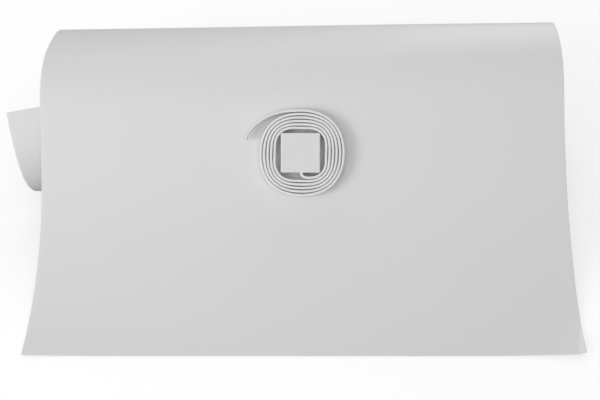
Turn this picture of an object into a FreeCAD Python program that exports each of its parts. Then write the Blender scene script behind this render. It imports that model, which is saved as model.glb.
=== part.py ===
"""Tree guard sheet rolled towards a tube, with a coiled tie strap and its square spacer block.

Millimetres. X runs along the roll, Y away from the free edge of the flap, Z up; the
ground is z = 0. The flap lies on the ground at its free edge and climbs to the slope.
The rest of the sheet rolls over into a slightly conical tube whose end tucks in behind
the slope. Strap and block rest on the slope.
"""
import FreeCAD, Part
import Sketcher
import math
import os

os.makedirs("parts", exist_ok=True)
doc = FreeCAD.newDocument("TreeGuard")
Vector = FreeCAD.Vector

# ---------------------------------------------------------------- driving dimensions
# alias, value, note
DIMENSIONS = [
    ("sheet_width", 610.0, "sheet along the roll axis"),
    ("sheet_length", 914.0, "sheet from free edge to tucked end"),
    ("sheet_thickness", 1.0, "sheet wall"),
    ("flat_end", 12.0, "flat foot at the free edge"),
    ("flap_radius", 315.9, "bend of the flap panel, mid wall"),
    ("flap_angle", 27.75, "degrees turned by the flap panel"),
    ("heel_radius", 312.3, "bend from the flap to the slope, mid wall"),
    ("slope_angle", 47.2, "degrees of the straight slope"),
    ("flap_offset", 3.0, "flap panel towards +X from the middle of the roll"),
    ("roll_start", 313.1, "arc length where the tube starts, mid width"),
    ("roll_radius", 88.93, "tube radius, mid width"),
    ("roll_taper", 0.03012, "loss of tube radius per mm towards +X"),
    ("roll_skew", 0.03699, "shift of the tube start per mm towards +X"),
    ("roll_tuck", 6.35, "how far the end spirals inwards"),
    ("roll_egg", 0.11725, "share by which the crown leans back"),
    ("crown_left", 0.032, "share by which the upper half is taller at the -X end"),
    ("crown_right", 0.0771, "the same at the +X end"),
    ("belly_left", 0.0448, "share by which the lower half is deeper at the -X end"),
    ("belly_right", 0.0, "the same at the +X end"),
    ("ease_height", 45.0, "height under which the tube flattens on the ground"),
    ("panel_gap", 1.2, "gap between the flap panel and the rolled panel"),
    ("strap_thickness", 3.0, "strap"),
    ("strap_width", 13.0, "strap, standing on its edge"),
    ("strap_rest_gap", 0.4, "coil above the sheet"),
    ("coil_arc", 249.0, "arc length of the coil centre"),
    ("coil_offset", -1.44, "coil centre from the middle of the roll, along X"),
    ("coil_reach", 50.0, "coil radius that rests on the curved sheet"),
    ("block_side", 44.6, "square block"),
    ("block_height", 15.0, "square block"),
    ("block_edge", 1.2, "rounded top rim of the block"),
    ("block_corner", 2.5, "rounded corners of the block"),
    ("slot_width", 4.4, "strap channel in the block"),
    ("slot_depth", 7.0, "strap channel in the block"),
    ("slot_height", 13.7, "strap channel in the block, open below"),
    ("slot_overrun", 2.0, "channel cut past the side of the block"),
    ("origin_x", 17.991, "frame origin"),
    ("origin_y", -220.986, "frame origin"),
]
sheet_cells = doc.addObject("Spreadsheet::Sheet", "Dimensions")
for row, (alias, value, note) in enumerate(DIMENSIONS, 1):
    sheet_cells.set("A%d" % row, alias)
    sheet_cells.set("B%d" % row, repr(value))
    sheet_cells.set("C%d" % row, note)
    sheet_cells.setAlias("B%d" % row, alias)
doc.recompute()
size = {alias: float(sheet_cells.get(alias)) for alias, _, _ in DIMENSIONS}

HALF_WALL = size["sheet_thickness"] / 2.0
ORIGIN = Vector(size["origin_x"], size["origin_y"], 0.0)

# ---------------------------------------------------------------- sheet geometry
# sideways wander of the sheet's middle line: (arc length, mm towards +X)
DRIFT = [
    (0.0, 1.85), (80.0, 3.66), (160.0, 3.89), (240.0, 2.08), (310.0, 0.26), (380.0, 0.29),
    (450.0, 2.22), (530.0, 1.47), (620.0, -0.76), (720.0, -3.12), (820.0, -6.54), (920.0, -5.45),
]
TUCK_START = 240.0  # degrees of tube turn where the inward spiral begins
TUCK_SPAN = 120.0  # degrees over which it reaches roll_tuck
GROUND_GAP = 0.2  # under the eased tube
EASE_MIN_DEPTH = 30.0  # least height over which the tube is eased
EASE_MIN_TURN = 0.6  # radians; the wall before this is never eased
LOWEST_ARCS = range(480, 915, 4)  # arc lengths searched for the lowest point of the tube
NORMAL_STEP = 0.5  # half the step used to measure the direction of the wall


def slope_point(arc):
    """Mid-wall (y, z) at an arc length along flap, heel and slope, tube left out."""
    y = min(arc, size["flat_end"])
    z = HALF_WALL
    heading = 0.0
    left = arc - y
    for radius, degrees in (
        (size["flap_radius"], size["flap_angle"]),
        (size["heel_radius"], size["slope_angle"] - size["flap_angle"]),
    ):
        run = min(left, radius * math.radians(degrees))
        turned = heading + run / radius
        y += radius * (math.sin(turned) - math.sin(heading))
        z += radius * (math.cos(heading) - math.cos(turned))
        heading = turned
        left -= run
    return y + left * math.cos(heading), z + left * math.sin(heading)


def drift_at(arc):
    """Smooth curve through the DRIFT points (Catmull-Rom)."""
    i = 0
    while i < len(DRIFT) - 2 and arc > DRIFT[i + 1][0]:
        i += 1
    arc_a, drift_a = DRIFT[i]
    arc_b, drift_b = DRIFT[i + 1]
    arc_before, drift_before = DRIFT[max(i - 1, 0)]
    arc_after, drift_after = DRIFT[min(i + 2, len(DRIFT) - 1)]
    span = arc_b - arc_a
    rise_a = (drift_b - drift_before) / (arc_b - arc_before) * span
    rise_b = (drift_after - drift_a) / (arc_after - arc_a) * span
    q = (arc - arc_a) / span
    return (
        drift_a * (2 * q ** 3 - 3 * q * q + 1) + rise_a * (q ** 3 - 2 * q * q + q)
        + drift_b * (3 * q * q - 2 * q ** 3) + rise_b * (q ** 3 - q * q)
    )


def tube_start(across):
    return size["roll_start"] + size["roll_skew"] * across


def tube_point(arc, across):
    """(y, z, turn, radius) on the tube before it eases on the ground."""
    start = tube_start(across)
    slope = math.radians(size["slope_angle"])
    up_y, up_z = math.cos(slope), math.sin(slope)
    out_y, out_z = -math.sin(slope), math.cos(slope)
    start_y, start_z = slope_point(start)
    radius = size["roll_radius"] - size["roll_taper"] * across
    turn = (arc - start) / radius

    half = "crown" if math.sin(turn) > 0.0 else "belly"
    right_share = across / size["sheet_width"] + 0.5
    grow = size[half + "_left"] * (1 - right_share) + size[half + "_right"] * right_share
    bulge = math.sin(turn) ** 2
    tuck = min(1.0, max(0.0, (math.degrees(turn) - TUCK_START) / TUCK_SPAN))
    reach = radius * (1.0 + grow * bulge - size["roll_egg"] * math.sin(2 * turn) * bulge)
    reach -= size["roll_tuck"] * tuck * tuck

    y = start_y - out_y * radius + reach * (out_y * math.cos(turn) + up_y * math.sin(turn))
    z = start_z - out_z * radius + reach * (out_z * math.cos(turn) + up_z * math.sin(turn))
    return y, z, turn, radius


lowest_cache = {}


def lowest_at(across):
    """Lowest mid-wall height of the tube before easing; kept, as it is asked for often."""
    key = round(across, 3)
    if key not in lowest_cache:
        lowest_cache[key] = min(tube_point(arc, across)[1] for arc in LOWEST_ARCS)
    return lowest_cache[key]


def mid_wall(arc, across):
    """Mid-wall point of the sheet; the tube is a leaning cone, eased flat on the ground."""
    if arc <= tube_start(across):
        y, z = slope_point(arc)
        return Vector(across + drift_at(arc), y, z)
    y, z, turn, radius = tube_point(arc, across)
    low = lowest_at(across)
    floor = HALF_WALL + GROUND_GAP
    top = max(size["ease_height"], low + EASE_MIN_DEPTH)
    if low < floor and z < top and turn > EASE_MIN_TURN:
        # squeeze heights low..top into floor..top, without a kink at the top
        stretch = (top - low) / (top - floor)
        q = (top - z) / (top - low)
        z = top - (top - floor) * (stretch * q + (1.0 - stretch) * q * q)
    twist = radius * (
        size["roll_skew"] * (turn - math.sin(turn))
        - size["roll_taper"] * (turn * turn / 2.0 - 1.0 + math.cos(turn))
    )
    return Vector(across + twist + drift_at(arc), y, z)


def wall_point(arc, across, side):
    """Point on one face of the wall: side +1 towards the outside of the tube, -1 inside."""
    step = NORMAL_STEP
    along_x = mid_wall(arc, across + step) - mid_wall(arc, across - step)
    along_arc = mid_wall(arc + step, across) - mid_wall(arc - step, across)
    normal = along_x.cross(along_arc)
    normal.normalize()
    return mid_wall(arc, across) + normal * (side * HALF_WALL)


# ---------------------------------------------------------------- guard_sheet_roll
WIDTH_STEPS = 20
ARC_STEPS = 110
SEW_TOLERANCE = 1e-3


def wall_face(side):
    """Surface through a grid of points on one face of the rolled wall."""
    flap_end = size["flat_end"] + size["flap_radius"] * math.radians(size["flap_angle"])
    first = flap_end + size["panel_gap"] / 2.0
    length = size["sheet_length"] - first
    arcs = [first + length * i / ARC_STEPS for i in range(ARC_STEPS + 1)]
    stations = [size["sheet_width"] * (i / WIDTH_STEPS - 0.5) for i in range(WIDTH_STEPS + 1)]
    surface = Part.BSplineSurface()
    surface.interpolate([[wall_point(arc, across, side) for across in stations] for arc in arcs])
    return surface


def border_curves(surface):
    u_first, u_last, v_first, v_last = surface.bounds()
    return (
        surface.uIso(u_first), surface.uIso(u_last),
        surface.vIso(v_first), surface.vIso(v_last),
    )


def build_roll():
    """Outer and inner face, closed by four ruled strips along the borders."""
    outer, inner = wall_face(1.0), wall_face(-1.0)
    faces = [outer.toShape(), inner.toShape()]
    for outer_edge, inner_edge in zip(border_curves(outer), border_curves(inner)):
        faces.append(Part.makeRuledSurface(outer_edge.toShape(), inner_edge.toShape(), 1))
    sewn = Part.Shape(Part.makeCompound(faces))
    sewn.sewShape(SEW_TOLERANCE)
    # sewing may leave loose faces and no shell
    solid = Part.makeSolid(sewn.Shells[0] if sewn.Shells else Part.makeShell(faces))
    if solid.Volume < 0:
        solid.reverse()
    feature = doc.addObject("Part::Feature", "GuardSheetRoll")
    feature.Label = "guard_sheet_roll"
    feature.Shape = solid
    feature.Placement = FreeCAD.Placement(ORIGIN, FreeCAD.Rotation())
    return feature


# ---------------------------------------------------------------- body and sketch helpers
def new_body(name, label):
    body = doc.addObject("PartDesign::Body", name)
    body.Label = label
    return body


def origin_plane(body, role):
    for feature in body.Origin.OriginFeatures:
        if feature.Role == role:
            return feature
    raise RuntimeError(role)


def new_sketch(body, name, role, offset=None):
    sketch = body.newObject("Sketcher::SketchObject", name)
    sketch.AttachmentSupport = [(origin_plane(body, role), "")]
    sketch.MapMode = "FlatFace"
    if offset is not None:
        sketch.AttachmentOffset = offset
    return sketch


def drive(sketch, expression, *constraint):
    """Add a dimension to a sketch and bind it to an expression."""
    index = sketch.addConstraint(Sketcher.Constraint(*constraint))
    sketch.setExpression("Constraints[%d]" % index, expression)


def add_rectangle(sketch, width, height, width_rule, height_rule, below=0.0, below_rule=None):
    """First geometry of a sketch: a rectangle centred on the sketch's Y axis.

    Its lower side lies `below` under the origin, or on the X axis without a below_rule.
    The rules are the expressions the sizes are bound to.
    """
    left, right = -width / 2.0, width / 2.0
    bottom, top = -below, height - below
    corners = [(left, bottom), (right, bottom), (right, top), (left, top)]
    for i in range(4):
        begin, end = corners[i], corners[(i + 1) % 4]
        sketch.addGeometry(Part.LineSegment(Vector(*begin, 0), Vector(*end, 0)), False)
    for i in range(4):
        sketch.addConstraint(Sketcher.Constraint("Coincident", i, 2, (i + 1) % 4, 1))
    for i in (0, 2):
        sketch.addConstraint(Sketcher.Constraint("Horizontal", i))
    for i in (1, 3):
        sketch.addConstraint(Sketcher.Constraint("Vertical", i))
    drive(sketch, width_rule, "DistanceX", 0, 1, 0, 2, width)
    drive(sketch, height_rule, "DistanceY", 1, 1, 1, 2, height)
    drive(sketch, width_rule + " / 2", "DistanceX", 0, 1, -1, 1, width / 2.0)
    if below_rule is None:
        sketch.addConstraint(Sketcher.Constraint("PointOnObject", 0, 1, -1))
    else:
        drive(sketch, below_rule, "DistanceY", 0, 1, -1, 1, below)


def add_sweep(body, name, section, path, edges):
    sweep = body.newObject("PartDesign::AdditivePipe", name)
    sweep.Profile = section
    sweep.Spine = (path, edges)
    sweep.Mode = "Standard"
    body.Tip = sweep
    doc.recompute()


# ---------------------------------------------------------------- guard_sheet_flap
def build_flap():
    """Flat foot and bent panel, swept along its mid wall."""
    body = new_body("GuardSheetFlap", "guard_sheet_flap")
    path = new_sketch(body, "FlapPath", "YZ_Plane")
    foot, radius = size["flat_end"], size["flap_radius"]
    sweep_angle = math.radians(size["flap_angle"]) - (size["panel_gap"] / 2.0) / radius
    path.addGeometry(
        Part.LineSegment(Vector(0, HALF_WALL, 0), Vector(foot, HALF_WALL, 0)), False
    )
    circle = Part.Circle(Vector(foot, HALF_WALL + radius, 0), Vector(0, 0, 1), radius)
    path.addGeometry(
        Part.ArcOfCircle(circle, -math.pi / 2, -math.pi / 2 + sweep_angle), False
    )
    path.addConstraint(Sketcher.Constraint("Horizontal", 0))
    path.addConstraint(Sketcher.Constraint("DistanceX", -1, 1, 0, 1, 0.0))
    drive(path, "Dimensions.sheet_thickness / 2", "DistanceY", -1, 1, 0, 1, HALF_WALL)
    drive(path, "Dimensions.flat_end", "DistanceX", 0, 1, 0, 2, foot)
    path.addConstraint(Sketcher.Constraint("Tangent", 0, 2, 1, 1))
    drive(path, "Dimensions.flap_radius", "Radius", 1, radius)

    section = new_sketch(body, "FlapSection", "XZ_Plane")
    add_rectangle(
        section, size["sheet_width"], size["sheet_thickness"],
        "Dimensions.sheet_width", "Dimensions.sheet_thickness",
    )
    doc.recompute()
    add_sweep(body, "FlapBend", section, path, ["Edge1", "Edge2"])
    body.Placement = FreeCAD.Placement(
        ORIGIN + Vector(size["flap_offset"], 0, 0), FreeCAD.Rotation()
    )
    body.setExpression("Placement.Base.x", "Dimensions.origin_x + Dimensions.flap_offset")
    body.setExpression("Placement.Base.y", "Dimensions.origin_y")
    return body


# ---------------------------------------------------------------- strap and block frame
def coil_placement():
    """Frame of coil, tail and block: X along the roll, Y up the slope, Z off the sheet.

    The coil rests on the curved sheet at its lower and upper edge.
    """
    low_y, low_z = slope_point(size["coil_arc"] - size["coil_reach"])
    high_y, high_z = slope_point(size["coil_arc"] + size["coil_reach"])
    tilt = math.atan2(high_z - low_z, high_y - low_y)
    lift = HALF_WALL + size["strap_rest_gap"]
    centre = Vector(
        size["origin_x"] + size["coil_offset"],
        size["origin_y"] + (low_y + high_y) / 2.0 - math.sin(tilt) * lift,
        (low_z + high_z) / 2.0 + math.cos(tilt) * lift,
    )
    return FreeCAD.Placement(centre, FreeCAD.Rotation(Vector(1, 0, 0), math.degrees(tilt)))


COIL_FRAME = coil_placement()

# ---------------------------------------------------------------- tie strap
# Mid-line of the strap: distance from the coil centre every quarter turn, starting
# at -Y, going to +X, over +Y and round.
QUARTER_RADII = [
    27.4, 27.3, 30.4, 30.2, 32.8, 31.8, 34.7, 33.9, 36.8, 35.8, 38.2, 38.0,
    40.3, 40.1, 41.8, 42.4, 44.6, 44.3, 46.3, 47.2, 48.9, 48.3, 49.8, 52.0,
]
# The block's corners push every turn out on the diagonals: (quarter turns, mm)
CORNER_BULGE = [(0.0, 5.7), (1.0, 5.0), (2.0, 4.2), (6.0, 3.6), (23.0, 1.6)]
COIL_START = 0.42  # quarter turns
COIL_END = 22.1  # quarter turns
COIL_STEPS = 109
# The inner end comes straight out of the block and turns into the first quarter: (x, y)
LEAD = [(0.0, -18.6), (0.0, -21.5), (0.9, -25.0), (4.6, -27.6)]
# The free tail leaves the last turn on a wider and wider curve: (x, y)
TAIL = [
    (-8.9, 49.45), (-13.5, 49.4), (-18.5, 48.95), (-24.8, 47.8), (-31.6, 45.7),
    (-38.3, 42.8), (-45.5, 38.6), (-52.6, 33.4), (-58.8, 26.8), (-62.4, 21.0), (-64.0, 17.4),
]


def corner_bulge(quarter):
    for (from_q, from_mm), (to_q, to_mm) in zip(CORNER_BULGE, CORNER_BULGE[1:]):
        if quarter <= to_q:
            return from_mm + (to_mm - from_mm) * (quarter - from_q) / (to_q - from_q)


def coil_point(quarter):
    i = int(quarter)
    part = quarter - i
    radius = QUARTER_RADII[i] * (1 - part) + QUARTER_RADII[i + 1] * part
    turn = quarter * math.pi / 2
    radius += corner_bulge(quarter) * (1 - math.cos(4 * turn)) / 2.0
    angle = turn - math.pi / 2
    return radius * math.cos(angle), radius * math.sin(angle)


def coil_points():
    span = COIL_END - COIL_START
    return LEAD + [
        coil_point(COIL_START + span * i / COIL_STEPS) for i in range(COIL_STEPS + 1)
    ]


def build_strap(name, label, mid_line):
    """Strap standing on its edge, swept along a curve through (x, y) points."""
    body = new_body(name, label)
    path = new_sketch(body, name + "Path", "XY_Plane")
    points = [Vector(x, y, 0) for x, y in mid_line]
    curve = Part.BSplineCurve()
    curve.interpolate(points)
    path.addGeometry(curve, False)
    doc.recompute()
    # section square to the start of the curve, its height along Z
    tangent = curve.tangent(curve.FirstParameter)[0]
    sideways = Vector(-tangent.y, tangent.x, 0)
    turned = FreeCAD.Rotation(sideways, Vector(0, 0, 1), tangent, "XYZ")
    section = new_sketch(
        body, name + "Section", "XY_Plane", FreeCAD.Placement(points[0], turned)
    )
    add_rectangle(
        section, size["strap_thickness"], size["strap_width"],
        "Dimensions.strap_thickness", "Dimensions.strap_width",
    )
    doc.recompute()
    add_sweep(body, name + "Sweep", section, path, ["Edge1"])
    body.Placement = COIL_FRAME
    return body


# ---------------------------------------------------------------- spacer_block
def edges_where(shape, test):
    """Names of the edges whose bounding box passes the test."""
    return ["Edge%d" % i for i, edge in enumerate(shape.Edges, 1) if test(edge.BoundBox)]


def add_fillet(body, name, base, edges, alias):
    fillet = body.newObject("PartDesign::Fillet", name)
    fillet.Base = (base, edges)
    fillet.Radius = size[alias]
    fillet.setExpression("Radius", "Dimensions." + alias)
    body.Tip = fillet
    doc.recompute()
    return fillet


def build_block():
    """Square block with a strap channel in its -Y side, open below."""
    body = new_body("SpacerBlock", "spacer_block")
    side, height = size["block_side"], size["block_height"]
    half_side = side / 2.0

    outline = new_sketch(body, "BlockOutline", "XY_Plane")
    add_rectangle(
        outline, side, side, "Dimensions.block_side", "Dimensions.block_side",
        half_side, "Dimensions.block_side / 2",
    )
    doc.recompute()
    pad = body.newObject("PartDesign::Pad", "BlockPad")
    pad.Profile = outline
    pad.Length = height
    pad.setExpression("Length", "Dimensions.block_height")
    doc.recompute()

    channel = new_sketch(body, "StrapChannel", "XY_Plane")
    overrun = size["slot_overrun"]
    add_rectangle(
        channel, size["slot_width"], size["slot_depth"] + overrun,
        "Dimensions.slot_width", "Dimensions.slot_depth + Dimensions.slot_overrun",
        half_side + overrun, "Dimensions.block_side / 2 + Dimensions.slot_overrun",
    )
    doc.recompute()
    slot = body.newObject("PartDesign::Pocket", "StrapChannelCut")
    slot.Profile = channel
    slot.Type = 0
    slot.Length = size["slot_height"]
    slot.setExpression("Length", "Dimensions.slot_height")
    slot.Reversed = True
    body.Tip = slot
    doc.recompute()

    upright_corners = edges_where(
        slot.Shape,
        lambda box: box.ZLength > height - 0.5
        and abs(abs(box.XMin) - half_side) < 0.01
        and abs(abs(box.YMin) - half_side) < 0.01,
    )
    rounded = add_fillet(body, "BlockCorners", slot, upright_corners, "block_corner")
    top_rim = edges_where(rounded.Shape, lambda box: box.ZMin > height - 0.01)
    add_fillet(body, "BlockRim", rounded, top_rim, "block_edge")
    body.Placement = COIL_FRAME
    return body


# ---------------------------------------------------------------- build and write
pieces = [
    build_roll(),
    build_flap(),
    build_strap("TieStrapCoil", "tie_strap_coil", coil_points()),
    build_strap("TieStrapTail", "tie_strap_tail", TAIL),
    build_block(),
]
doc.recompute()
bad = [item.Name for item in doc.Objects if any(s in ("Invalid", "Error") for s in item.State)]
if bad:
    raise RuntimeError("features in error: %s" % bad)
for piece in pieces:
    shape = piece.Shape
    if shape.isNull() or not shape.isValid():
        raise RuntimeError("%s has no valid shape" % piece.Label)
    if not shape.Solids:
        raise RuntimeError("%s holds no solid" % piece.Label)
    shape.exportStep("parts/%s.step" % piece.Label)
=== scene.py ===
"""White plastic sheet, partly rolled up, with a strap wound round a square block on its flap.

X runs across the sheet, Z is up and the floor is just below z = 0. The free edge lies at the
front (-Y). From there the flap climbs backwards and curls over, down and under into a roll.
The block and the strap coil lie on the climbing flap.
Shapes are worked out in millimetres and turned into metres when the meshes are made.
"""
import math

import bpy
import numpy as np
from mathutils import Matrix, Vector


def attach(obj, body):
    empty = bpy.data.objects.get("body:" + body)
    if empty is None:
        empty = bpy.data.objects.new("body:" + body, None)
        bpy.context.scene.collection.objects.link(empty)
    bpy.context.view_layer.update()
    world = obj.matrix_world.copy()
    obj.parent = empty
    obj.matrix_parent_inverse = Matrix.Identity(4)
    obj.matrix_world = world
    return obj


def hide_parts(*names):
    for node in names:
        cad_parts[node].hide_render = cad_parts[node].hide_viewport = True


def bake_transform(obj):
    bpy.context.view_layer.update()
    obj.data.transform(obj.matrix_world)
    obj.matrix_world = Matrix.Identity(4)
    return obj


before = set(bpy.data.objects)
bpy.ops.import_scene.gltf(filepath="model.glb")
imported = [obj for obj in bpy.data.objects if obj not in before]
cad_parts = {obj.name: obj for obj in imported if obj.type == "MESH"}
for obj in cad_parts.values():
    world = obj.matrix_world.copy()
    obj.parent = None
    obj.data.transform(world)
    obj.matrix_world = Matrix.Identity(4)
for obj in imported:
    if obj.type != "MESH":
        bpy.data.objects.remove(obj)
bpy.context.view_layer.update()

scene = bpy.context.scene
MM = 0.001


# ------------------------------------------------------------------ curves and meshes
def monotone(knots, values, x):
    """Monotone cubic through the knots."""
    gap = np.diff(knots)
    rise = np.diff(values) / np.diff(knots)
    slope = np.zeros(len(knots))
    for i in range(1, len(knots) - 1):
        if rise[i - 1] * rise[i] > 0:
            before = 2 * gap[i] + gap[i - 1]
            after = gap[i] + 2 * gap[i - 1]
            slope[i] = (before + after) / (before / rise[i - 1] + after / rise[i])
    j = np.clip(np.searchsorted(knots, x, side="right") - 1, 0, len(knots) - 2)
    t = (x - knots[j]) / gap[j]
    return (
        values[j] * (1 + 2 * t) * (1 - t) ** 2 + slope[j] * gap[j] * t * (1 - t) ** 2
        + values[j + 1] * t * t * (3 - 2 * t) + slope[j + 1] * gap[j] * t * t * (t - 1)
    )


def natural(knots, values, x):
    """Natural cubic spline through the knots."""
    count = len(knots)
    gap = np.diff(knots)
    matrix = np.zeros((count, count))
    right = np.zeros(count)
    matrix[0, 0] = matrix[-1, -1] = 1
    for i in range(1, count - 1):
        matrix[i, i - 1:i + 2] = gap[i - 1], 2 * (gap[i - 1] + gap[i]), gap[i]
        right[i] = 6 * (
            (values[i + 1] - values[i]) / gap[i] - (values[i] - values[i - 1]) / gap[i - 1]
        )
    bend = np.linalg.solve(matrix, right)
    j = np.clip(np.searchsorted(knots, x, side="right") - 1, 0, count - 2)
    to_next = knots[j + 1] - x
    past = x - knots[j]
    return (
        (bend[j] * to_next ** 3 + bend[j + 1] * past ** 3) / (6 * gap[j])
        + (values[j] / gap[j] - bend[j] * gap[j] / 6) * to_next
        + (values[j + 1] / gap[j] - bend[j + 1] * gap[j] / 6) * past
    )


def unit(vectors):
    return vectors / np.linalg.norm(vectors, axis=-1, keepdims=True)


def path_lengths(points):
    """Distance along a polyline at each of its points."""
    return np.concatenate([[0], np.cumsum(np.linalg.norm(np.diff(points, axis=0), axis=1))])


def band(lower, upper):
    """Quads between two closed rings of vertex indices."""
    return np.stack([lower, np.roll(lower, -1), np.roll(upper, -1), upper], -1).tolist()


def new_mesh(name, verts_mm, faces, uv, material):
    """Smooth-shaded object with one UV map, given per vertex."""
    mesh = bpy.data.meshes.new(name)
    mesh.from_pydata([tuple(v) for v in verts_mm * MM], [], faces)
    mesh.validate()
    mesh.update()
    layer = mesh.uv_layers.new(name="UVMap")
    corner_vertex = np.zeros(len(mesh.loops), np.int32)
    mesh.loops.foreach_get("vertex_index", corner_vertex)
    layer.data.foreach_set("uv", np.asarray(uv, np.float32)[corner_vertex].ravel())
    for polygon in mesh.polygons:
        polygon.use_smooth = True
    mesh.materials.append(material)
    obj = bpy.data.objects.new(name, mesh)
    scene.collection.objects.link(obj)
    return obj


# ------------------------------------------------------------------ sheet (mm, degrees)
SHEET_X, SHEET_Y = 17.991, -220.986     # middle of the free edge
WIDTH, LENGTH, WALL = 610.0, 914.0, 1.0
HALF_WIDTH = WIDTH / 2
HALF_WALL = WALL / 2

# distance from the free edge, climb of the flap there
CLIMB_AT, CLIMB = np.array([
    (0.0, 0.0), (12.0, 0.0), (50.0, 7.42), (90.0, 14.02), (130.0, 20.90), (170.0, 29.05),
    (210.0, 37.24), (250.0, 43.18), (311.0, 47.23), (2000.0, 47.23),
]).T
# distance from the free edge, sideways drift there
DRIFT_AT, DRIFT = np.array([
    (0, 1.854), (80, 3.657), (160, 3.892), (240, 2.075), (310, 0.259), (380, 0.295),
    (450, 2.222), (530, 1.473), (620, -0.763), (720, -3.120), (820, -6.545), (914, -5.453),
]).T

ROLL_START, ROLL_SKEW = 313.1, 0.03699      # on the middle line, and change per mm across
ROLL_RADIUS, ROLL_TAPER = 88.93, 0.03012    # on the middle line, and loss per mm across
ROLL_EGG = 0.11725                          # lopsidedness, part of the radius
BULGE_FIRST = (0.0320, 0.0771)              # first half turn, left and right end of the roll
BULGE_SECOND = (0.0448, 0.0)                # second half turn, likewise
TUCK, TUCK_FROM, TUCK_SPAN = 6.35, 240.0, 120.0     # the last part turns inside the first

SETTLE_TURN = 0.6                       # radians of roll before the floor can flatten it
REST_HEIGHT = HALF_WALL + 0.2           # middle of the wall where the roll rests
SETTLE_TOP, SETTLE_MIN_SPAN = 45.0, 30.0    # height up to which settling reaches
SETTLE_SINK = 0.25                      # part of the overlap that is pressed flat
SETTLE_ROUND, SETTLE_ROUND_FULL, SETTLE_ROUND_MIN = 3.0, 12.0, 0.05  # softness of the flat

CURL_LENGTH, CURL_FROM = 90.0, 150.0    # how far back and how far out the corners turn up
CURL_RIGHT, CURL_RIGHT_POWER = 3.4, 2.2
CURL_LEFT, CURL_LEFT_POWER = 1.4, 2
CREASE_X, CREASE_SHIFT, CREASE_RUN = 297.0, 8.5, 46.0   # moves out by the shift over the run
CREASE_SLOPE, CREASE_SOFT = 0.42, 0.6
SLACK, SLACK_FROM, SLACK_FADE = 0.35, 20.0, 60.0        # shallow waves, faded in from the edge

# side view of the flap, integrated in steps of 1 mm
FLAP_S = np.arange(0.0, LENGTH + 1.5, 1.0)
_climb = np.radians(monotone(CLIMB_AT, CLIMB, FLAP_S))
_step_climb = (_climb[1:] + _climb[:-1]) / 2
FLAP_Y = np.concatenate([[0], np.cumsum(np.cos(_step_climb))])
FLAP_Z = HALF_WALL + np.concatenate([[0], np.cumsum(np.sin(_step_climb))])


def mid_wall(along, across):
    """Y, Z, turn (radians) and roll radius at the middle of the wall, for two like arrays."""
    climb = math.radians(CLIMB[-1])
    ahead_y, ahead_z = math.cos(climb), math.sin(climb)
    out_y, out_z = -math.sin(climb), math.cos(climb)
    start = ROLL_START + ROLL_SKEW * across
    radius = ROLL_RADIUS - ROLL_TAPER * across
    centre_y = np.interp(start, FLAP_S, FLAP_Y) - out_y * radius
    centre_z = np.interp(start, FLAP_S, FLAP_Z) - out_z * radius
    turn = np.maximum(0.0, (along - start) / radius)
    sine, cosine = np.sin(turn), np.cos(turn)

    right = across / WIDTH + 0.5
    first = BULGE_FIRST[0] * (1 - right) + BULGE_FIRST[1] * right
    second = BULGE_SECOND[0] * (1 - right) + BULGE_SECOND[1] * right
    bulge = np.where(sine > 0, first, second)
    tuck = TUCK * np.clip((np.degrees(turn) - TUCK_FROM) / TUCK_SPAN, 0, 1) ** 2
    egg = ROLL_EGG * np.sin(2 * turn) * sine ** 2
    reach = radius * (1 + bulge * sine ** 2 - egg) - tuck

    on_flap = along < start
    y = np.where(on_flap, np.interp(along, FLAP_S, FLAP_Y),
                 centre_y + reach * (out_y * cosine + ahead_y * sine))
    z = np.where(on_flap, np.interp(along, FLAP_S, FLAP_Z),
                 centre_z + reach * (out_z * cosine + ahead_z * sine))
    return y, z, turn, radius


def settle(z, turn):
    """Flattens the roll, in place, where it would sink into the floor."""
    for height, column_turn in zip(z.T, turn.T):
        rolled = column_turn > SETTLE_TURN
        if not rolled.any():
            continue
        low = height[rolled].min()
        if low >= REST_HEIGHT:
            continue
        top = max(SETTLE_TOP, low + SETTLE_MIN_SPAN)
        touch = REST_HEIGHT + SETTLE_SINK * (low - REST_HEIGHT)
        flat = REST_HEIGHT + (height - touch) * (top - REST_HEIGHT) / (top - touch)
        soft = SETTLE_ROUND * min(1.0, (REST_HEIGHT - low) / SETTLE_ROUND_FULL)
        soft += SETTLE_ROUND_MIN
        rounded = REST_HEIGHT + soft * np.logaddexp(0.0, (flat - REST_HEIGHT) / soft)
        settled = rolled & (height < top)
        height[settled] = rounded[settled]


def corner_curl(across, power):
    return np.clip((across - CURL_FROM) / (HALF_WIDTH - CURL_FROM), 0, 1) ** power


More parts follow.
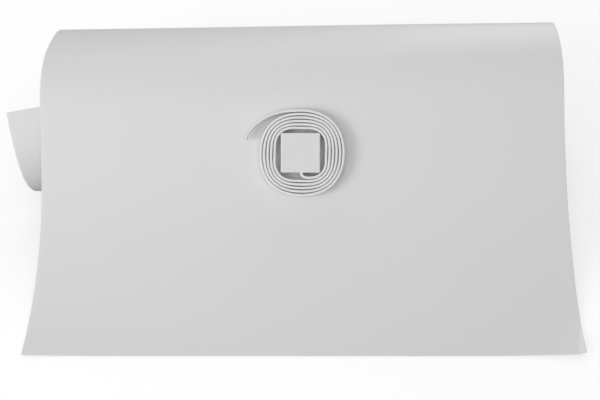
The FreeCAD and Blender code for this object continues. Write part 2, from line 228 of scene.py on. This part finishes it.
def sheet_points(along, across):
    """Middle of the wall on the grid of two 1-D arrays, shape (along, across, 3)."""
    along, across = np.meshgrid(along, across, indexing="ij")
    y, z, turn, radius = mid_wall(along, across)
    settle(z, turn)

    # the skewed, tapered roll creeps sideways as it turns
    creep = radius * (ROLL_SKEW * (turn - np.sin(turn))
                      - ROLL_TAPER * (turn * turn / 2 - 1 + np.cos(turn)))
    x = across + creep + natural(DRIFT_AT, DRIFT, np.clip(along, 0, LENGTH))

    # both corners of the free edge turn up, the right one more
    near_edge = np.clip(1 - along / CURL_LENGTH, 0, 1) ** 2
    z = z + near_edge * (CURL_RIGHT * corner_curl(across, CURL_RIGHT_POWER)
                         + CURL_LEFT * corner_curl(-across, CURL_LEFT_POWER))
    # a short slanting crease turns the very corner up on the right
    beyond = np.maximum(0.0, across - (CREASE_X + CREASE_SHIFT * along / CREASE_RUN))
    bent = np.sqrt(beyond * beyond + CREASE_SOFT ** 2) - CREASE_SOFT
    z = z + CREASE_SLOPE * bent * (beyond > 0)
    # slack in the thin wall: wavelengths and phases across and along
    fade = np.clip((along - SLACK_FROM) / SLACK_FADE, 0, 1)
    waves = np.sin(across / 97.0 + 1.3 + along / 210.0) * np.sin(along / 131.0 + 0.4)
    z = z + fade * SLACK * waves
    return np.stack([x + SHEET_X, y + SHEET_Y, z], -1)


# rounded cut edge, from outer to inner face: how far out, height from the middle of the wall
RIM = ((0.16, 0.45), (0.26, 0.30), (0.26, -0.30), (0.16, -0.45))


def build_sheet(material):
    """Two faces, half a wall either side of the middle, joined by a rounded rim."""
    # finer near the free edge and at the creased right side
    along = np.concatenate([np.arange(0.0, 60.0, 1.6), np.linspace(60.0, LENGTH, 305)])
    across = np.concatenate([
        np.linspace(-HALF_WIDTH, 284.0, 140), np.linspace(285.2, HALF_WIDTH, 18),
    ])
    rows, columns = len(along), len(across)
    middle = sheet_points(along, across)
    d_across = np.gradient(middle, across, axis=1)
    d_along = np.gradient(middle, along, axis=0)
    normal = unit(np.cross(d_across, d_along))
    grid_uv = np.stack(np.meshgrid(across, along), -1)

    verts = [(middle + normal * HALF_WALL).reshape(-1, 3),
             (middle - normal * HALF_WALL).reshape(-1, 3)]
    uv = [grid_uv.reshape(-1, 2)] * 2
    count = rows * columns
    index = np.arange(count).reshape(rows, columns)
    quads = np.stack([index[:-1, :-1], index[:-1, 1:], index[1:, 1:], index[1:, :-1]], -1)
    quads = quads.reshape(-1, 4)
    faces = quads.tolist() + (quads[:, ::-1] + count).tolist()

    # once round the border, starting at the left end of the free edge
    border = (
        [(0, j) for j in range(columns)] + [(i, columns - 1) for i in range(1, rows)]
        + [(rows - 1, j) for j in range(columns - 2, -1, -1)]
        + [(i, 0) for i in range(rows - 2, 0, -1)]
    )
    row, column = np.array(border).T
    side = (column == columns - 1).astype(float) - (column == 0)
    end = (row == rows - 1).astype(float) - (row == 0)
    outward = unit(unit(d_across)[row, column] * side[:, None]
                   + unit(d_along)[row, column] * end[:, None])
    rings = [index[row, column]]
    for out, height in RIM:
        verts.append(middle[row, column] + outward * out + normal[row, column] * height)
        uv.append(grid_uv[row, column])
        first = 2 * count + (len(rings) - 1) * len(border)
        rings.append(np.arange(first, first + len(border)))
    rings.append(index[row, column] + count)
    for ring, after in zip(rings, rings[1:]):
        quads = np.stack([ring, after, np.roll(after, -1), np.roll(ring, -1)], -1)
        faces += quads.tolist()
    return new_mesh("guard_sheet", np.concatenate(verts), faces, np.concatenate(uv), material)


# ------------------------------------------------------------------ coil frame (mm)
# x runs across, y up the slope of the flap, z out of the flap
COIL_AT = np.array([17.45, 3.452, 88.577])
COIL_TILT = math.radians(42.4443)
COIL_X = np.array([1.0, 0, 0])
COIL_Y = np.array([0, math.cos(COIL_TILT), math.sin(COIL_TILT)])
COIL_Z = np.array([0, -math.sin(COIL_TILT), math.cos(COIL_TILT)])


def coil_world(points):
    """Points of the coil frame in the world, mm."""
    points = np.asarray(points, float)
    return (COIL_AT + points[..., 0:1] * COIL_X + points[..., 1:2] * COIL_Y
            + points[..., 2:3] * COIL_Z)


# ------------------------------------------------------------------ strap (mm)
# A spiral of constant pitch round a square block: each turn is pushed out on the diagonals,
# less and less towards the outside.
COIL_START = 27.6       # middle of the strap straight below the block
COIL_PITCH = 4.05       # growth of the radius in one turn
COIL_TURNS = 5.53       # turns from there to where the tail leaves
SQUARE_IN = 4.7         # push-out on the diagonals, first turn
SQUARE_OUT = 1.7        # and last turn
STRAP_HALF = 1.5        # half the thickness
STRAP_WIDTH = 13.0
STRAP_EDGE = 1.05       # rounding of the long edges
STRAP_GIRTH_UV = 46.0   # UV length once round the section
STRAP_STEP = 1.15
CAP_SHRINK = np.array([0.80, 0.80, 0.965])
CAP_OUT = 0.25          # how far an end cap stands out
# (x, y) from the end inside the block to the first turn
STRAP_LEAD = [(0.0, -18.6), (0.0, -20.8), (0.1, -22.9), (0.9, -25.2), (3.4, -27.0)]
# (x, y) from the last turn to the tip
STRAP_TAIL = [
    (-18.5, 48.7), (-24.8, 47.6), (-31.6, 45.6), (-38.3, 42.8), (-45.2, 38.9),
    (-52.2, 33.7), (-58.4, 27.0), (-62.0, 21.2), (-64.0, 17.2),
]
TAIL_LIFT, TAIL_LIFT_POWER = 3.6, 1.6           # rise of the tip
TAIL_LIFT_X, TAIL_LIFT_RUN = 22.0, 42.0         # left of the middle where it starts, and its run
TAIL_LENGTH = 90.0                              # only this last length can rise
CUT_X, CUT_LENGTH = 5.0, 110.0      # cut at this x, within this last length


def strap_path():
    """Middle line (x, y) in the coil frame and the distance along it."""
    # -90 degrees is straight below the block
    degrees = np.arange(-66.0, COIL_TURNS * 360.0 - 90.0, 4.0)
    turns = (degrees + 90.0) / 360.0
    square = SQUARE_IN + (SQUARE_OUT - SQUARE_IN) * turns / COIL_TURNS
    push = square * (1 - np.cos(np.radians(4 * degrees))) / 2
    radius = COIL_START + COIL_PITCH * turns + push
    angle = np.radians(degrees)
    spiral = np.stack([radius * np.cos(angle), radius * np.sin(angle)], -1)
    points = np.concatenate([STRAP_LEAD, spiral, STRAP_TAIL])

    knots = path_lengths(points)
    distance = np.append(np.arange(0, knots[-1], STRAP_STEP), knots[-1])
    path = np.stack([natural(knots, points[:, i], distance) for i in range(2)], -1)
    return path, distance


def strap_lift(path, distance):
    """Small height differences between the turns, and the lifted tip of the tail."""
    uneven = 0.28 + 0.16 * np.sin(distance / 61.0 + 0.7) + 0.12 * np.sin(distance / 23.0 + 2.1)
    rise = np.clip((-path[:, 0] - TAIL_LIFT_X) / TAIL_LIFT_RUN, 0, 1) ** TAIL_LIFT_POWER
    return uneven + TAIL_LIFT * rise * (distance > distance[-1] - TAIL_LENGTH)


def strap_section():
    """Closed outline of the section: offset from the middle line, height."""
    points = []
    low, high = STRAP_EDGE, STRAP_WIDTH - STRAP_EDGE
    for side, height, first in ((1, low, -90), (1, high, 0), (-1, high, 90), (-1, low, 180)):
        for k in range(7):
            angle = math.radians(first + k * 15.0)
            points.append((side * (STRAP_HALF - STRAP_EDGE) + STRAP_EDGE * math.cos(angle),
                           height + STRAP_EDGE * math.sin(angle)))
    return np.array(points)


def sweep_strap(name, path, lift, cap_start, cap_end, material):
    """Sweeps the section, standing on its edge, along a path in the coil frame."""
    tangent = unit(np.gradient(path, axis=0))
    sideways = np.stack([tangent[:, 1], -tangent[:, 0]], -1)
    section = strap_section()
    count, around = len(path), len(section)
    flat = path[:, None, :] + sideways[:, None, :] * section[None, :, 0:1]
    rings = np.dstack([flat, section[None, :, 1] + lift[:, None]])
    distance = path_lengths(path)
    verts = [rings.reshape(-1, 3)]
    uv = [np.stack([np.repeat(distance, around),
                    np.tile(np.arange(around) / around * STRAP_GIRTH_UV, count)], -1)]
    index = np.arange(count * around).reshape(count, around)
    faces = []
    for ring, after in zip(index, index[1:]):
        faces += band(ring, after)

    total = count * around
    for end, sign, capped in ((0, -1, cap_start), (-1, 1, cap_end)):
        if not capped:
            continue
        centre = rings[end].mean(0)
        small = centre + (rings[end] - centre) * CAP_SHRINK
        small[:, :2] += sign * tangent[end] * CAP_OUT
        verts.append(small)
        uv.append(np.array([[distance[end], 0]] * around))
        cap = np.arange(total, total + around)
        total += around
        if sign > 0:
            faces += band(index[end], cap) + [cap.tolist()]
        else:
            faces += band(cap, index[end]) + [cap[::-1].tolist()]
    verts = coil_world(np.concatenate(verts))
    return new_mesh(name, verts, faces, np.concatenate(uv), material)


def build_strap(material):
    """Two lengths that meet square: the coil, and the tail with the end of the outer turn."""
    path, distance = strap_path()
    lift = strap_lift(path, distance)
    near_end = distance > distance[-1] - CUT_LENGTH
    cut = int(np.argmax(near_end & (path[:, 0] < CUT_X)))
    coil = sweep_strap("tie_strap_wound", path[:cut + 1], lift[:cut + 1],
                       cap_start=True, cap_end=False, material=material)
    tail = sweep_strap("tie_strap_free", path[cut:], lift[cut:],
                       cap_start=False, cap_end=True, material=material)
    return coil, tail


# ------------------------------------------------------------------ block (mm, coil frame)
BLOCK_HALF_X, BLOCK_HALF_Y, BLOCK_TOP = 22.7, 22.9, 14.7
BLOCK_MIDDLE = np.array([-0.9, 0.8])
BLOCK_LIFT = 0.1
CORNER = 1.9            # radius of the upright corners
CORNER_MIN = 0.15       # smallest radius left where the outline is inset
CHANNEL_X = -BLOCK_MIDDLE[0]        # channel for the strap, in the side facing down the slope
CHANNEL_HALF, CHANNEL_DEPTH, CHANNEL_ROOF = 2.4, 7.0, 13.5
CHANNEL_LIP = 0.35
RIM_WIDTH, RIM_DROP = 1.75, 1.1     # soft rim round the top
# dished top: inset, depth below the top
DISH = ((2.4, 0.03), (3.2, 0.13), (4.3, 0.22), (6.5, 0.27), (11.0, 0.29))


def block_outline(inset, channel):
    """Outline (x, y) about the block's middle, with or without the open channel."""
    radius = max(CORNER - inset, CORNER_MIN)
    back = max(inset - CORNER + CORNER_MIN, 0.0)
    core_x = BLOCK_HALF_X - CORNER - back
    core_y = BLOCK_HALF_Y - CORNER - back
    points = []
    corners = ((1, -1, -90), (1, 1, 0), (-1, 1, 90), (-1, -1, 180))
    for i, (sign_x, sign_y, first) in enumerate(corners):
        for k in range(7):
            angle = math.radians(first + k * 15.0)
            points.append((sign_x * core_x + radius * math.cos(angle),
                           sign_y * core_y + radius * math.sin(angle)))
        if i == 3:
            break
        next_x, next_y, _ = corners[i + 1]
        for part in (0.2, 0.4, 0.6, 0.8):
            if sign_x == next_x:
                points.append((sign_x * (BLOCK_HALF_X - inset),
                               (sign_y * (1 - part) + next_y * part) * core_y))
            else:
                points.append(((sign_x * (1 - part) + next_x * part) * core_x,
                               sign_y * (BLOCK_HALF_Y - inset)))

    # the side with the channel, from left to right
    y = -BLOCK_HALF_Y + inset
    shrink = (BLOCK_HALF_X - inset) / BLOCK_HALF_X
    floor_half = CHANNEL_HALF if channel else CHANNEL_HALF * 0.5
    depth = CHANNEL_DEPTH if channel else 0.0
    lip = CHANNEL_LIP if channel else 0.0
    points += [
        (-14.0 * shrink, y), (-8.0 * shrink, y),
        (CHANNEL_X - CHANNEL_HALF - CHANNEL_LIP, y), (CHANNEL_X - CHANNEL_HALF, y + lip),
        (CHANNEL_X - floor_half, y + depth), (CHANNEL_X + floor_half, y + depth),
        (CHANNEL_X + CHANNEL_HALF, y + lip), (CHANNEL_X + CHANNEL_HALF + CHANNEL_LIP, y),
        (8.0 * shrink, y), (14.0 * shrink, y),
    ]
    points = np.array(points)
    # hand-cut look: the sides wander by a tenth of a millimetre or two
    points[:, 0] += 0.16 * np.sin(points[:, 1] * 0.31 + 0.6) * np.sign(points[:, 0])
    points[:, 1] += 0.14 * np.sin(points[:, 0] * 0.27 + 1.9) * np.sign(points[:, 1])
    return points


def build_block(material):
    """Square block with rounded corners, a soft rim, a dished top and a channel."""
    # inset, height, whether the channel is open
    levels = [
        (0.7, 0.0, True), (0.25, 0.2, True), (0.0, 0.7, True), (0.0, 7.0, True),
        (0.0, CHANNEL_ROOF - 0.03, True), (0.0, CHANNEL_ROOF, False),
    ]
    for k in range(8):
        angle = math.radians(k * 90.0 / 7)
        levels.append((RIM_WIDTH * (1 - math.cos(angle)),
                       BLOCK_TOP - RIM_DROP + RIM_DROP * math.sin(angle), False))
    levels += [(inset, BLOCK_TOP - drop, False) for inset, drop in DISH]

    outlines = [block_outline(inset, channel) for inset, _, channel in levels]
    around = len(outlines[0])
    uv = np.concatenate(outlines)
    heights = np.repeat([height + BLOCK_LIFT for _, height, _ in levels], around)
    verts = coil_world(np.column_stack([uv + BLOCK_MIDDLE, heights]))
    index = np.arange(len(verts)).reshape(-1, around)
    faces = []
    for lower, upper in zip(index, index[1:]):
        faces += band(lower, upper)
    faces += [index[0][::-1].tolist(), index[-1].tolist()]
    return new_mesh("spacer_block_body", verts, faces, uv, material)


# ------------------------------------------------------------------ materials
FLOOR_GLOW = 0.6        # what the floor adds for the camera only


def new_tree(name):
    """Material with an empty node tree."""
    material = bpy.data.materials.new(name)
    material.use_nodes = True
    material.node_tree.nodes.clear()
    return material, material.node_tree


def node(tree, kind, at, **inputs):
    """Node at an editor position; underscores in input names stand for spaces."""
    made = tree.nodes.new(kind)
    made.location = at
    for key, value in inputs.items():
        made.inputs[key.replace("_", " ")].default_value = value
    return made


def math_node(tree, operation, at, factor):
    made = node(tree, "ShaderNodeMath", at)
    made.operation = operation
    made.inputs[1].default_value = factor
    return made


def plastic(name, grey, tone, rough, specular, line_depth, grain_depth, line_scale):
    """White plastic: cloudy tone, lines by UV and a faint grain. Depths are in mm."""
    material, tree = new_tree(name)
    link = tree.links.new
    output = node(tree, "ShaderNodeOutputMaterial", (900, 0))
    shader = node(tree, "ShaderNodeBsdfPrincipled", (600, 0), Specular_IOR_Level=specular)
    link(shader.outputs["BSDF"], output.inputs["Surface"])
    coord = node(tree, "ShaderNodeTexCoord", (-1500, 0))

    # lines: noise stretched by a different scale along each UV axis
    stretch = node(tree, "ShaderNodeMapping", (-1250, 150), Scale=line_scale)
    link(coord.outputs["UV"], stretch.inputs["Vector"])
    lines = node(tree, "ShaderNodeTexNoise", (-1000, 200), Scale=1.0, Detail=5.0, Roughness=0.62)
    link(stretch.outputs["Vector"], lines.inputs["Vector"])
    cloud = node(tree, "ShaderNodeTexNoise", (-1000, -80), Scale=9.0, Detail=3.0, Roughness=0.5)
    link(coord.outputs["Object"], cloud.inputs["Vector"])
    grain = node(tree, "ShaderNodeTexNoise", (-1000, -330),
                 Scale=1400.0, Detail=2.0, Roughness=0.6)
    link(coord.outputs["Object"], grain.inputs["Vector"])

    # tone: part from the clouds, part from the lines
    mix = math_node(tree, "MULTIPLY_ADD", (-760, 60), factor=0.55)
    line_part = math_node(tree, "MULTIPLY", (-900, 330), factor=0.45)
    link(cloud.outputs["Fac"], mix.inputs[0])
    link(lines.outputs["Fac"], line_part.inputs[0])
    link(line_part.outputs[0], mix.inputs[2])
    ramp = node(tree, "ShaderNodeValToRGB", (-560, 60))
    for stop, position, change in zip(ramp.color_ramp.elements, (0.30, 0.70), (-tone, tone)):
        stop.position = position
        stop.color = (grey + change, grey + change, grey + change * 0.9, 1)
    link(mix.outputs[0], ramp.inputs["Fac"])
    link(ramp.outputs["Color"], shader.inputs["Base Color"])

    gloss = node(tree, "ShaderNodeMapRange", (-560, -180), From_Min=0.3, From_Max=0.7,
                 To_Min=rough - 0.05, To_Max=rough + 0.06)
    link(cloud.outputs["Fac"], gloss.inputs["Value"])
    link(gloss.outputs["Result"], shader.inputs["Roughness"])

    line_bump = node(tree, "ShaderNodeBump", (60, -300), Strength=1.0, Distance=line_depth * MM)
    link(lines.outputs["Fac"], line_bump.inputs["Height"])
    grain_bump = node(tree, "ShaderNodeBump", (300, -300),
                      Strength=1.0, Distance=grain_depth * MM)
    link(grain.outputs["Fac"], grain_bump.inputs["Height"])
    link(line_bump.outputs["Normal"], grain_bump.inputs["Normal"])
    link(grain_bump.outputs["Normal"], shader.inputs["Normal"])
    return material


def floor_material():
    """Pale diffuse floor that also glows, but only as the camera sees it."""
    material, tree = new_tree("floor_pale")
    link = tree.links.new
    output = node(tree, "ShaderNodeOutputMaterial", (600, 0))
    diffuse = node(tree, "ShaderNodeBsdfDiffuse", (0, 100), Color=(0.5, 0.5, 0.5, 1))
    glow = node(tree, "ShaderNodeEmission", (0, -100), Strength=FLOOR_GLOW)
    path = node(tree, "ShaderNodeLightPath", (-300, -200))
    strength = math_node(tree, "MULTIPLY", (-150, -250), factor=FLOOR_GLOW)
    link(path.outputs["Is Camera Ray"], strength.inputs[0])
    link(strength.outputs[0], glow.inputs["Strength"])
    both = node(tree, "ShaderNodeAddShader", (300, 0))
    link(diffuse.outputs[0], both.inputs[0])
    link(glow.outputs[0], both.inputs[1])
    link(both.outputs[0], output.inputs["Surface"])
    return material


# ------------------------------------------------------------------ floor, light, camera (m)
FLOOR_HALF, FLOOR_Z = 6, -0.0006
AMBIENT = 0.354
LIGHT_TARGET = Vector((0.0, 0.0, 0.06))
# name, direction towards the light, distance, diameter, power (W)
LIGHTS = [
    ("key", (-0.703, -0.556, 0.444), 3.0, 1.3, 19.0),
    ("key_soft", (-0.655, -0.694, 0.299), 3.0, 2.0, 15.0),
    ("camera_fill", (0.0, -0.74, 0.67), 3.0, 2.5, 18.0),
    ("top_fill", (0.0, 0.0, 1.0), 2.5, 1.2, 2.6),
    ("back_fill", (0.0, 0.75, 0.65), 2.5, 1.2, 9.4),
    ("back_low", (0.25, 0.93, 0.25), 2.5, 1.0, 9.6),
]


def build_floor():
    mesh = bpy.data.meshes.new("floor")
    corners = [(x * FLOOR_HALF, y * FLOOR_HALF, 0) for x, y in ((-1, -1), (1, -1), (1, 1), (-1, 1))]
    mesh.from_pydata(corners, [], [(0, 1, 2, 3)])
    floor = bpy.data.objects.new("floor", mesh)
    floor.location.z = FLOOR_Z
    scene.collection.objects.link(floor)
    mesh.materials.append(floor_material())
    return floor


def add_world():
    world = bpy.data.worlds.new("soft_room")
    scene.world = world
    world.use_nodes = True
    background = world.node_tree.nodes["Background"]
    background.inputs["Color"].default_value = (1, 1, 1, 1)
    background.inputs["Strength"].default_value = AMBIENT


def add_light(name, direction, distance, diameter, power):
    """Round soft light aimed at the target."""
    towards = Vector(direction).normalized()
    data = bpy.data.lights.new(name, "AREA")
    data.shape = "DISK"
    data.size = diameter
    data.energy = power
    light = bpy.data.objects.new(name, data)
    light.location = LIGHT_TARGET + towards * distance
    light.rotation_euler = (-towards).to_track_quat("-Z", "Y").to_euler()
    scene.collection.objects.link(light)


def add_camera():
    """Camera at the front, looking back and down."""
    data = bpy.data.cameras.new("camera")
    data.lens = 71.18
    data.sensor_width = 36.0
    camera = bpy.data.objects.new("camera", data)
    camera.location = (0.01598, -1.006931, 1.027865)
    camera.rotation_euler = (math.radians(44.888), 0.0, 0.0)
    scene.collection.objects.link(camera)
    scene.camera = camera


# ------------------------------------------------------------------ assembly
sheet_mat = plastic("sheet_plastic", grey=0.80, tone=0.004, rough=0.50, specular=0.35,
                    line_depth=0.05, grain_depth=0.004, line_scale=(0.11, 0.0012, 1.0))
strap_mat = plastic("strap_plastic", grey=0.84, tone=0.006, rough=0.40, specular=0.45,
                    line_depth=0.03, grain_depth=0.004, line_scale=(0.010, 0.5, 1.0))
block_mat = plastic("block_plastic", grey=0.80, tone=0.005, rough=0.46, specular=0.40,
                    line_depth=0.02, grain_depth=0.005, line_scale=(0.05, 0.05, 1.0))

sheet = build_sheet(sheet_mat)
# points on the middle line at these distances from the free edge
blend_from, blend_to = sheet_points(np.array([198.0, 127.0]), np.array([0.0]))[:, 0] * MM
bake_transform(sheet)
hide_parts("guard_sheet_roll", "guard_sheet_flap")

coil, tail = build_strap(strap_mat)
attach(coil, "strap_coil")
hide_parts("tie_strap_coil")
blend_from, blend_to = coil_world([(4.5, 50.0, 10.0), (-30.0, 50.0, 10.0)]) * MM
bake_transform(tail)
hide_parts("tie_strap_tail")

block = build_block(block_mat)
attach(block, "block")
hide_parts("spacer_block")

build_floor()
add_world()
for light in LIGHTS:
    add_light(*light)
add_camera()
scene.view_settings.view_transform = "Standard"

bpy.context.view_layer.update()
